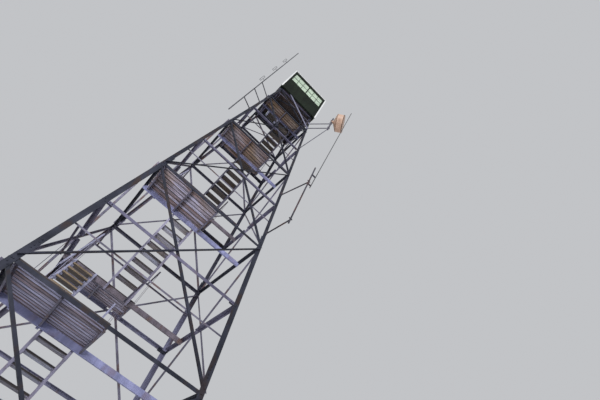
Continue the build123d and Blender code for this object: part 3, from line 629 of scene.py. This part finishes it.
# The windows
# Two wooden sashes a side with six lights each, painted the green of the walls, puttied glass,
# and a metal sill with a rounded front under each pair.
sash_paint, tree, surface = finish("sash_paint", 0.7)
surface.inputs["Specular IOR Level"].default_value = 0.25
flaked = tones(tree, noise(tree, 26.0), (0.3, (0.010, 0.018, 0.010)), (0.72, (0.030, 0.044, 0.026)))
tree.links.new(flaked, surface.inputs["Base Color"])
relief(tree, surface, noise(tree, 60.0), 0.2, 0.001)
dress(sash_paint, "window_sashes")
pane_glass, tree, surface = finish("pane_glass", 0.04)
surface.inputs["Alpha"].default_value = 0.34
grime = tones(tree, noise(tree, 4.0, detail=6.0), (0.4, 0.02), (0.75, 0.10))
tree.links.new(grime, surface.inputs["Roughness"])
tint = tones(tree, noise(tree, 3.0), (0.3, (0.55, 0.68, 0.55)), (0.7, (0.70, 0.80, 0.68)))
tree.links.new(tint, surface.inputs["Base Color"])
relief(tree, surface, noise(tree, 5.0), 0.01, 0.001)
dress(pane_glass, "window_glass")


def glazing_bar(mesh, middle, sizes, away):
    """A bar against the glass; the long edges on its side away from the glass are cut back at a slant."""
    corners = block(mesh, middle, sizes)
    edges = [edge for edge in edges_at(corners) if edge.calc_length() > max(sizes) * 0.99
             and all((vert.co.y - middle.y) * away > 0 for vert in edge.verts)]
    ease(mesh, edges, 0.005)


def repeat_round_tower(mesh):
    """Copies what the mesh holds to the other three sides."""
    first = mesh.verts[:] + mesh.edges[:] + mesh.faces[:]
    for side in (1, 2, 3):
        copy = bmesh.ops.duplicate(mesh, geom=first)["geom"]
        verts = [part for part in copy if isinstance(part, bmesh.types.BMVert)]
        bmesh.ops.rotate(mesh, matrix=quarter_turn(side), verts=verts)


pane_depth = cab_face - wall_thick / 2
window_foot, window_top = 19.30, 20.325
sash_start, sash_end, sash_width, sash_gap = 0.0083, 0.9847, 0.022, 0.0003
upright_thick, crossbar_thick, bar_width, bar_depth = 0.012, 0.011, 0.022, 0.0083
low_z, high_z = window_foot + sash_width + sash_gap, window_top - sash_width - sash_gap
middle_z = (low_z + high_z) / 2
bars, sills = bmesh.new(), bmesh.new()
for side in (-1, 1):
    first, last = sorted((side * sash_start, side * sash_end))
    first, last = first + sash_width, last - sash_width
    for away in (-1, 1):
        depth = -pane_depth + away * bar_depth
        for share in (1 / 3, 2 / 3):
            middle = Vector((first + (last - first) * share, depth, middle_z))
            glazing_bar(bars, middle, Vector((bar_width, upright_thick, high_z - low_z)), away)
        depth -= away * (upright_thick - crossbar_thick) / 2
        middle = Vector(((first + last) / 2, depth, middle_z))
        glazing_bar(bars, middle, Vector((last - first, crossbar_thick, bar_width)), away)
sill_sizes, sill_out = (2.04, 0.016, 0.022), 0.002
corners = block(sills, (0, -cab_face - sill_out, window_foot - sill_sizes[2] / 2), sill_sizes)
front_top = [edge for edge in edges_at(corners)
             if all(vert.co.y < -cab_face - 0.005 and vert.co.z > window_foot - 0.005 for vert in edge.verts)]
ease(sills, front_top, 0.008, 2)
for mesh, name in ((bars, "glazing_bars"), (sills, "window_sills")):
    repeat_round_tower(mesh)
    piece(name, mesh, sash_paint)

# The white trim
# Folded sheet at the corners and a boxed cornice under the eaves, in white paint gone chalky.
white_paint, tree, surface = finish("white_paint", 0.5)
weather = noise(tree, 3.0, (1.0, 1.0, 0.4), 6.0)
chalk = tones(tree, weather, (0.3, (0.70, 0.71, 0.72)), (0.65, (0.88, 0.88, 0.88)))
tree.links.new(chalk, surface.inputs["Base Color"])
relief(tree, surface, noise(tree, 40.0), 0.15, 0.001)
dress(white_paint, "corner_trims", "cornice")

# The ceiling
# Narrow tongued boards under the roof, painted pale green; the lamp light of the cab falls on it.
ceiling_paint, tree, surface = finish("ceiling_paint", 0.6)
lines = tree.nodes.new("ShaderNodeTexWave")
lines.inputs["Scale"].default_value = 3.6
tree.links.new(spot(tree), lines.inputs["Vector"])
seams = tones(tree, lines.outputs["Fac"], (0.0, 0.7), (0.06, 1.0))
pale = tones(tree, noise(tree, 2.5), (0.3, (0.62, 0.70, 0.60)), (0.7, (0.70, 0.78, 0.68)))
tree.links.new(times(tree, pale, seams), surface.inputs["Base Color"])
relief(tree, surface, seams, 0.4, 0.003)
dress(ceiling_paint, "ceiling")

# The roof
# Standing-seam sheet steel in four slopes, hips capped, a small vent cap at the top.
roof_paint, tree, surface = finish("roof_paint", 0.45, 0.3)
sheet = tones(tree, noise(tree, 2.0, detail=6.0), (0.3, (0.30, 0.31, 0.32)), (0.7, (0.46, 0.46, 0.47)))
rust = tones(tree, noise(tree, 6.0, detail=8.0), (0.6, 0.0), (0.7, 0.7))
tree.links.new(mixed(tree, rust, sheet, (0.13, 0.06, 0.035)), surface.inputs["Base Color"])
dress(roof_paint, "roof", "roof_cap")


def towards(start, end):
    """The turn that lays a Y axis along the line from a start to an end."""
    return (end - start).to_track_quat("Y", "Z").to_matrix().to_4x4()


low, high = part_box("roof")
eave, peak, reach, tip = low.z, high.z, high.x, 0.035
pitch = (peak - eave) / (reach - tip)
slope_out = Vector((0, -pitch, 1.0)).normalized()
seam_spacing, seam_width, seam_height, seam_lift = 0.32, 0.012, 0.022, 0.008
eave_gap, hip_gap = 0.004, 0.01
seam_mesh = bmesh.new()
for row in range(-3, 4):
    x = row * seam_spacing
    start = Vector((x, -reach + eave_gap, eave + eave_gap * pitch))
    end_y = -max(abs(x), tip) - hip_gap
    end = Vector((x, end_y, eave + (reach + end_y) * pitch))
    sizes = seam_width, (end - start).length, seam_height
    block(seam_mesh, (start + end) / 2 + slope_out * seam_lift, sizes, towards(start, end))
hip_radius, hip_inset = 0.02, 0.003
corner = Vector((reach - hip_inset, -reach + hip_inset, eave))
top = Vector((tip, -tip, peak))
turn = towards(corner, top) @ Matrix.Rotation(-math.pi / 2, 4, "X")
rod(seam_mesh, 8, hip_radius, (top - corner).length, Matrix.Translation((top + corner) / 2) @ turn)
repeat_round_tower(seam_mesh)
piece("roof_seams", seam_mesh, roof_paint)

# The side mast and its whip
# A steel pipe on two arms off the near right leg, with a tapered fibreglass whip clamped to its head.
pipe_coat = (0.030, 0.028, 0.038), (0.075, 0.070, 0.092), (0.080, 0.040, 0.036)
pipe_zinc = zinc("pipe_zinc", pipe_coat, 0.10)
dress(pipe_zinc, "side_mast")
whip_finish, tree, surface = finish("whip_fibreglass", 0.4)
weather = noise(tree, 5.0, (1.0, 1.0, 0.1))
faded = tones(tree, weather, (0.3, (0.020, 0.021, 0.024)), (0.7, (0.050, 0.052, 0.058)))
tree.links.new(faded, surface.inputs["Base Color"])
dress(whip_finish, "whip_antenna")

# The shrouded dish
# A spun metal shroud with a stretched front skin, painted a warm tan and stained by rain and rust. Its
# arm is dark, and the feeder tray that belongs to the same node runs pale across the near face.
dish_paint, tree, surface = finish("dish_paint", 0.45)
warm = tones(tree, noise(tree, 3.0, detail=6.0), (0.3, (0.44, 0.27, 0.19)), (0.7, (0.62, 0.42, 0.32)))
grime = tones(tree, noise(tree, 8.0, (1.0, 1.0, 0.2), 5.0), (0.55, 0.0), (0.8, 0.6))
tree.links.new(mixed(tree, grime, warm, (0.22, 0.11, 0.065)), surface.inputs["Base Color"])
dress(dish_paint, "drum_antenna")
tray_end = 1.09
arm_zinc, tree, surface = finish("arm_zinc", 0.5, 0.35)
tray_grey = tones(tree, noise(tree, 9.0), (0.3, (0.200, 0.200, 0.290)), (0.7, (0.330, 0.330, 0.460)))
arm_grey = tones(tree, noise(tree, 5.0), (0.3, (0.060, 0.058, 0.078)), (0.7, (0.140, 0.135, 0.180)))
beyond_tray = worked(tree, "GREATER_THAN", axes(tree)["X"], tray_end)
tree.links.new(mixed(tree, beyond_tray, tray_grey, arm_grey), surface.inputs["Base Color"])
relief(tree, surface, noise(tree, 90.0), 0.25, 0.001)
dress(arm_zinc, "drum_arm")
band_coat = (0.075, 0.045, 0.030), (0.160, 0.090, 0.055), (0.060, 0.030, 0.018)
band_steel = zinc("band_steel", band_coat, 0.12)


def ring(mesh, middle, axis, inner, outer, width, segments=48):
    """A flat-sided band round an axis: a strip spun through a whole turn."""
    sideways = axis.orthogonal().normalized()
    corners = [middle + sideways * radius + axis * shift
               for radius, shift in ((inner, 0), (outer, 0), (outer, width), (inner, width))]
    verts = [mesh.verts.new(corner) for corner in corners]
    edges = [mesh.edges.new((verts[i], verts[(i + 1) % 4])) for i in range(4)]
    bmesh.ops.spin(mesh, geom=verts + edges, cent=middle, axis=axis, dvec=(0, 0, 0), angle=math.tau,
                   steps=segments, use_merge=True, use_duplicate=False)


facing = Vector((0.8, -0.6, 0.0))
dish_z, pole_right, pole_front = 17.388, 0.69, 0.79
pole = Vector((half(dish_z) + pole_right, -half(dish_z) - pole_front, dish_z))
shroud_radius, rim_bolts, rim_bolt_radius, rim_bolt_place = 0.4205, 8, 0.428, 0.545
mesh = bmesh.new()
for place, outer, width in ((0.528, 0.426, 0.034), (0.240, 0.425, 0.020)):
    ring(mesh, pole + facing * place, facing, shroud_radius, outer, width)
for bolt in range(rim_bolts):
    spoke = Matrix.Rotation(bolt * math.tau / rim_bolts, 4, facing) @ Vector((0, 0, rim_bolt_radius))
    set_in(mesh, small_head, pole + facing * rim_bolt_place + spoke, spoke.normalized())
bmesh.ops.recalc_face_normals(mesh, faces=mesh.faces)
piece("dish_bands", mesh, band_steel)

# The clamps of the pipes
# Flat steel bands round each pipe where its stand-offs meet it, closed by a bolt through the ears.


def strap(mesh, middle, radius, width=0.04):
    """A clamp band round an upright pipe, with a bolted ear at each side."""
    fit_gap, band_thick = 0.0005, 0.006
    ear_out, ear_length, ear_thick, bolt_out = 0.018, 0.03, 0.012, 0.004
    foot, up = middle - Vector((0, 0, width / 2)), Vector((0, 0, 1))
    ring(mesh, foot, up, radius + fit_gap, radius + band_thick, width, 20)
    for x in (-1, 1):
        ear = middle + Vector((x * (radius + ear_out), 0, 0))
        block(mesh, ear, (ear_length, ear_thick, width))
        for y in (-1, 1):
            bolt = ear + Vector((x * bolt_out, y * ear_thick / 2, 0))
            set_in(mesh, small_head, bolt, Vector((0, y, 0)))


pole_radius, mast_radius = 0.038, 0.024
mast_z, mast_right, mast_front = levels[1] + 0.472, 0.086, 0.909
mast = Vector((half(mast_z) + mast_right, -half(mast_z) - mast_front, mast_z))
clamps = bmesh.new()
for rise in (-0.745, -0.205, 0.0, 0.12):
    strap(clamps, pole + Vector((0, 0, rise)), pole_radius)
for rise in (0.20, 2.28):
    strap(clamps, mast + Vector((0, 0, rise)), mast_radius)
bmesh.ops.recalc_face_normals(clamps, faces=clamps.faces)
piece("pipe_clamps", clamps, pipe_zinc)

# The dipole mast
# An aluminium pipe on three arms off the near left leg, with three folded dipoles up its height.
dull_aluminium, tree, surface = finish("dull_aluminium", 0.5, 0.5)
weather = noise(tree, 9.0, (1.0, 1.0, 0.2))
oxide = tones(tree, weather, (0.3, (0.050, 0.050, 0.060)), (0.7, (0.120, 0.120, 0.140)))
tree.links.new(oxide, surface.inputs["Base Color"])
dress(dull_aluminium, "dipole_mast")

# The stage
# A pale floor and an even pale sky. One soft sun and one soft lamp stand in front on the left, and a
# small lamp hangs in the cab.
floor_finish, tree, surface = finish("floor_finish", 0.9)
pale = tones(tree, noise(tree, 0.4), (0.3, (0.80, 0.80, 0.80)), (0.7, (0.83, 0.83, 0.83)))
tree.links.new(pale, surface.inputs["Base Color"])
mesh = bmesh.new()
bmesh.ops.create_circle(mesh, cap_ends=True, segments=96, radius=160.0)
floor = linked("floor", mesh, floor_finish)

world = bpy.data.worlds.new("pale_sky")
bpy.context.scene.world = world
world.use_nodes = True
tree = world.node_tree
ambient = tree.nodes["Background"]
ambient.inputs["Color"].default_value = (0.96, 0.98, 1.0, 1.0)
ambient.inputs["Strength"].default_value = 0.75
seen = tree.nodes.new("ShaderNodeBackground")
seen.inputs["Color"].default_value = (0.54, 0.55, 0.57, 1.0)
seen.inputs["Strength"].default_value = 1.0
rays = tree.nodes.new("ShaderNodeLightPath").outputs
shows_sky = worked(tree, "MAXIMUM", rays["Is Camera Ray"], rays["Is Glossy Ray"])
shows_sky = worked(tree, "MAXIMUM", shows_sky, rays["Is Transmission Ray"])
blend = tree.nodes.new("ShaderNodeMixShader")
tree.links.new(shows_sky, blend.inputs["Fac"])
tree.links.new(ambient.outputs["Background"], blend.inputs[1])
tree.links.new(seen.outputs["Background"], blend.inputs[2])
tree.links.new(blend.outputs["Shader"], tree.nodes["World Output"].inputs["Surface"])


def lamp(name, kind, energy):
    """A lamp in the scene and its settings."""
    settings = bpy.data.lights.new(name, kind)
    settings.energy = energy
    thing = bpy.data.objects.new(name, settings)
    bpy.context.scene.collection.objects.link(thing)
    return thing, settings


cab_lamp, settings = lamp("cab_lamp", "POINT", 34.0)
cab_lamp.location = (0.0, 0.0, 19.6)
settings.shadow_soft_size = 0.3
settings.color = (0.98, 1.0, 0.97)
sun, settings = lamp("sun", "SUN", 1.6)
sun.rotation_euler = Vector((-0.60, -0.74, 0.28)).to_track_quat("Z", "Y").to_euler()
settings.angle = 0.35
low_lamp, settings = lamp("low_lamp", "AREA", 170.0)
aim = Vector((0, 0, 10.0))
low_lamp.location = (-6.0, -10.0, 2.2)
low_lamp.rotation_euler = (low_lamp.location - aim).to_track_quat("Z", "Y").to_euler()
settings.shape = "DISK"
settings.size = 3.0
settings.spread = math.radians(64)
bpy.context.scene.view_settings.view_transform = "Standard"
